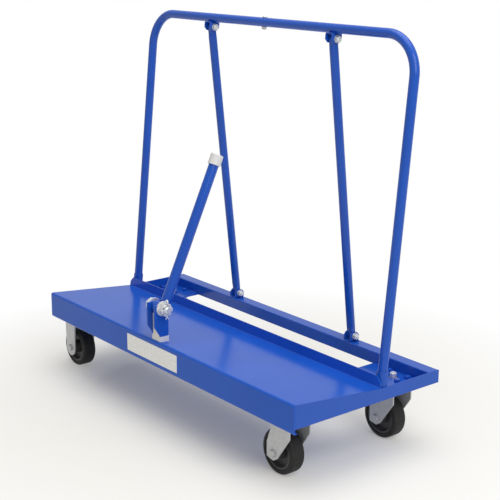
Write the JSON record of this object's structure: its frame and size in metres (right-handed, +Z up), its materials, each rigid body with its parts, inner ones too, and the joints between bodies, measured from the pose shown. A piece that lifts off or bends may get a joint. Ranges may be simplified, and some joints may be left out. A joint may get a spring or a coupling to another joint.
{
  "type": "drywall cart",
  "caption": "Wheeled steel cart with a sloped deck, a rear lip, a leaning tube hoop with rear braces and a hinged prop arm, for moving sheets on edge.",
  "frame": {"origin": "on the floor below the middle of the whole cart", "axes": "+X along the cart towards its swivel casters, +Y from the front edge of the deck to the back, +Z up"},
  "size_m": [1.237, 0.5436, 1.1559],
  "materials": {
    "blue_paint": "satin powder coat",
    "zinc": "zinc plated",
    "tyre": "matte",
    "wheel_centre": "matte",
    "white_plastic": "satin"
  },
  "bodies": {
    "cart": {"arm_block": "white_plastic", "arm_bracket": "blue_paint", "block_bolts": "zinc", "brace_bolts": "zinc", "brace_foot_brackets": "blue_paint", "brace_left": "blue_paint", "brace_nuts": "zinc", "brace_right": "blue_paint", "brace_top_brackets": "blue_paint", "brace_washers": "zinc", "bracket_screws": "zinc", "caster_bolts": "zinc", "caster_nuts": "blue_paint", "caster_plate_left": "blue_paint", "caster_plate_right": "blue_paint", "deck_beam": "blue_paint", "deck_panel": "blue_paint", "deck_ribs": "blue_paint", "hoop_left": "blue_paint", "hoop_right": "blue_paint", "hoop_socket_left": "blue_paint", "hoop_socket_right": "blue_paint", "hoop_splice": "zinc", "kingpins": "zinc", "pivot_bolt": "zinc", "pivot_nut": "zinc", "pivot_washers": "zinc", "rear_rail": "blue_paint", "rigid_axle_nuts": "zinc", "rigid_axle_sleeves": "zinc", "rigid_axles": "zinc", "rigid_fork_front": "zinc", "rigid_fork_rear": "zinc", "side_plate_left": "blue_paint", "side_plate_right": "blue_paint", "splice_bolt": "zinc", "splice_nut": "zinc", "split_pin": "zinc", "swivel_plates": "zinc", "swivel_races": "zinc"},
    "arm": {"arm_barrel": "blue_paint", "arm_tube": "blue_paint", "arm_cap": "white_plastic"},
    "fork_front": {"swivel_fork_front": "zinc", "swivel_axle_front": "zinc", "swivel_axle_nut_front": "zinc", "swivel_axle_sleeve_front": "zinc"},
    "fork_rear": {"swivel_fork_rear": "zinc", "swivel_axle_rear": "zinc", "swivel_axle_nut_rear": "zinc", "swivel_axle_sleeve_rear": "zinc"},
    "wheel_rigid_front": {"rigid_front_wheel": "wheel_centre", "rigid_front_tyre": "tyre"},
    "wheel_rigid_rear": {"rigid_rear_wheel": "wheel_centre", "rigid_rear_tyre": "tyre"},
    "wheel_swivel_front": {"swivel_front_wheel": "wheel_centre", "swivel_front_tyre": "tyre"},
    "wheel_swivel_rear": {"swivel_rear_wheel": "wheel_centre", "swivel_rear_tyre": "tyre"}
  },
  "joints": [
    {"name": "arm_hinge", "type": "hinge", "parent": "cart", "child": "arm", "pos_m": [0.0005, -0.24375, 0.349], "axis": [1, 0, 0], "range_deg": [0, 150]},
    {"name": "swivel_front", "type": "hinge", "parent": "cart", "child": "fork_front", "pos_m": [0.5165, -0.18325, 0.16], "axis": [0, 0, 1], "continuous": true},
    {"name": "swivel_rear", "type": "hinge", "parent": "cart", "child": "fork_rear", "pos_m": [0.5165, 0.19575, 0.16], "axis": [0, 0, 1], "continuous": true},
    {"name": "spin_rigid_front", "type": "hinge", "parent": "cart", "child": "wheel_rigid_front", "pos_m": [-0.555, -0.18325, 0.0635], "axis": [0, 1, 0], "continuous": true},
    {"name": "spin_rigid_rear", "type": "hinge", "parent": "cart", "child": "wheel_rigid_rear", "pos_m": [-0.555, 0.19575, 0.0635], "axis": [0, 1, 0], "continuous": true},
    {"name": "spin_swivel_front", "type": "hinge", "parent": "fork_front", "child": "wheel_swivel_front", "pos_m": [0.49, -0.18325, 0.0635], "axis": [0, 1, 0], "continuous": true},
    {"name": "spin_swivel_rear", "type": "hinge", "parent": "fork_rear", "child": "wheel_swivel_rear", "pos_m": [0.49, 0.19575, 0.0635], "axis": [0, 1, 0], "continuous": true}
  ]
}
